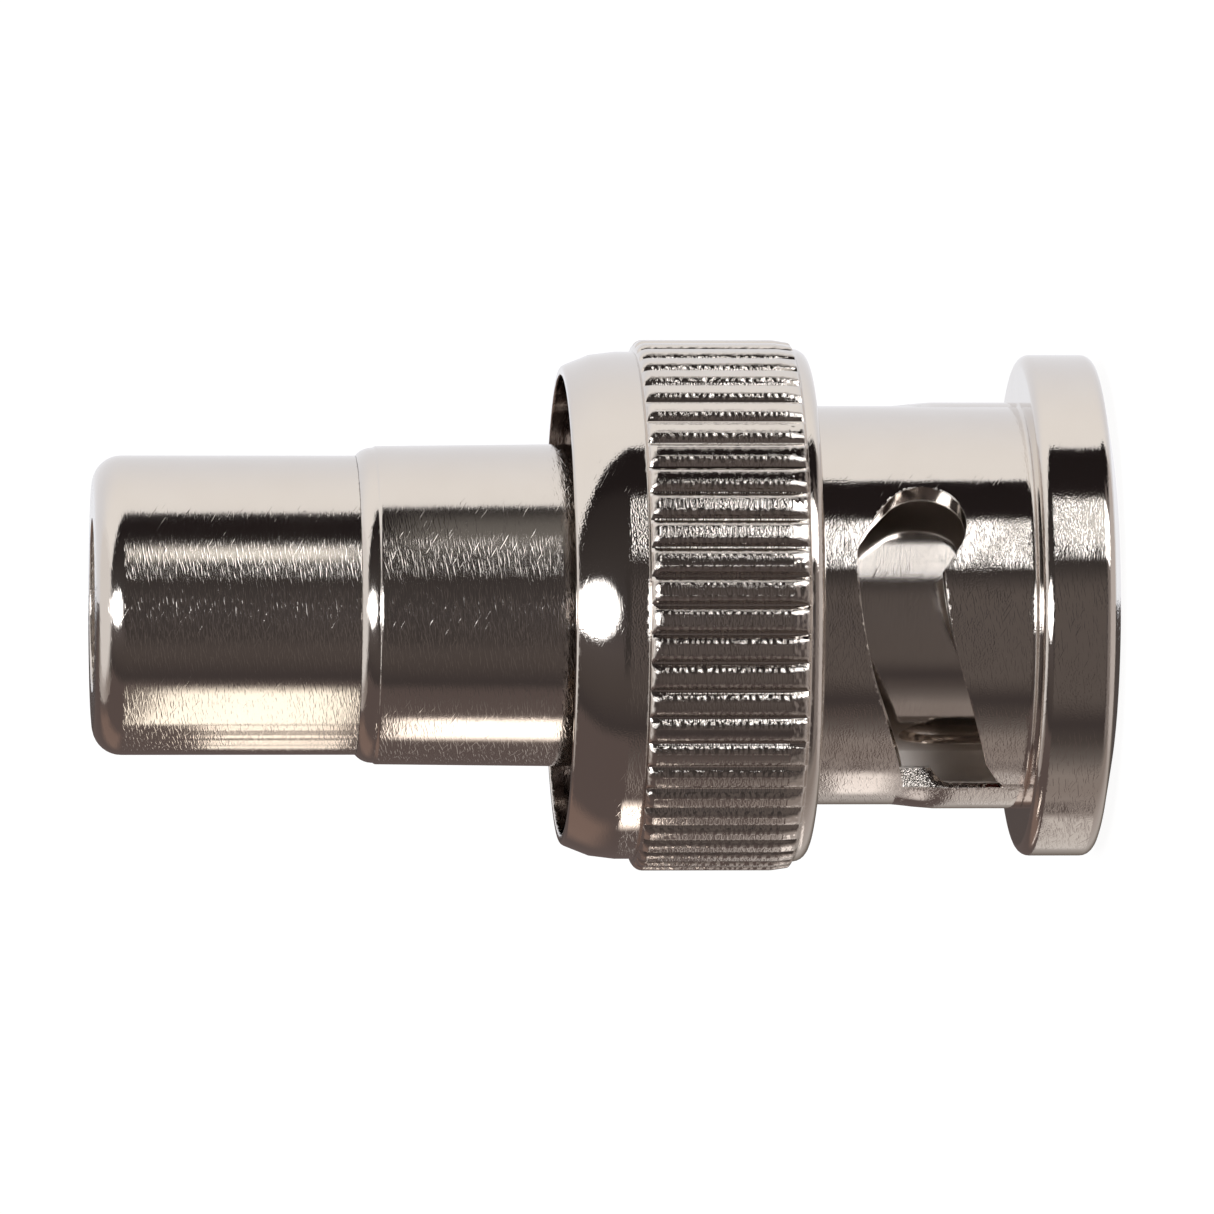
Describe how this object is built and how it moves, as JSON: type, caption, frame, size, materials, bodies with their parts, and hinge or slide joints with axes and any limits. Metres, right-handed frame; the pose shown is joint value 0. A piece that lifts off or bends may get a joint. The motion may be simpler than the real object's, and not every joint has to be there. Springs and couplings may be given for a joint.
{
  "type": "bnc to rca adapter",
  "caption": "Nickel-plated coaxial adapter: knurled bayonet plug with slotted coupling nut at one end, round phono jack at the other.",
  "frame": {"origin": "on the common axis, at the foremost ring of the bayonet nut's front flange, on which the part stands", "axes": "+Z along the common axis, from the bayonet plug towards the phono jack; -Y faces the bayonet slot that the picture shows"},
  "size_m": [0.0148, 0.0148, 0.0281],
  "materials": {
    "nickel_plate": "bright, fine tool and handling scratches",
    "spring_steel": "dark, satin",
    "gold_plate": "polished",
    "ptfe": "matt white, waxy",
    "silicone_rubber": "matt"
  },
  "bodies": {
    "body": {"adapter_body": "nickel_plate", "rca_shell": "nickel_plate", "outer_contact": "nickel_plate", "bnc_insulator": "ptfe", "centre_pin": "gold_plate", "socket_contact": "gold_plate", "rca_insulator": "ptfe", "gasket": "silicone_rubber", "wave_washer": "spring_steel"},
    "washer": {"thrust_washer": "spring_steel"},
    "nut": {"coupling_nut": "nickel_plate", "retaining_ring": "spring_steel"}
  },
  "joints": [
    {"name": "nut_slide", "type": "slide", "parent": "body", "child": "washer", "axis": [0, 0, -1], "range_m": [0, 0.0008], "stiffness_N_per_m": 800, "springref_m": -0.0005, "deforming": ["wave_washer"]},
    {"name": "nut_spin", "type": "hinge", "parent": "washer", "child": "nut", "pos_m": [0, 0, 0.013], "axis": [0, 0, 1], "continuous": true}
  ]
}
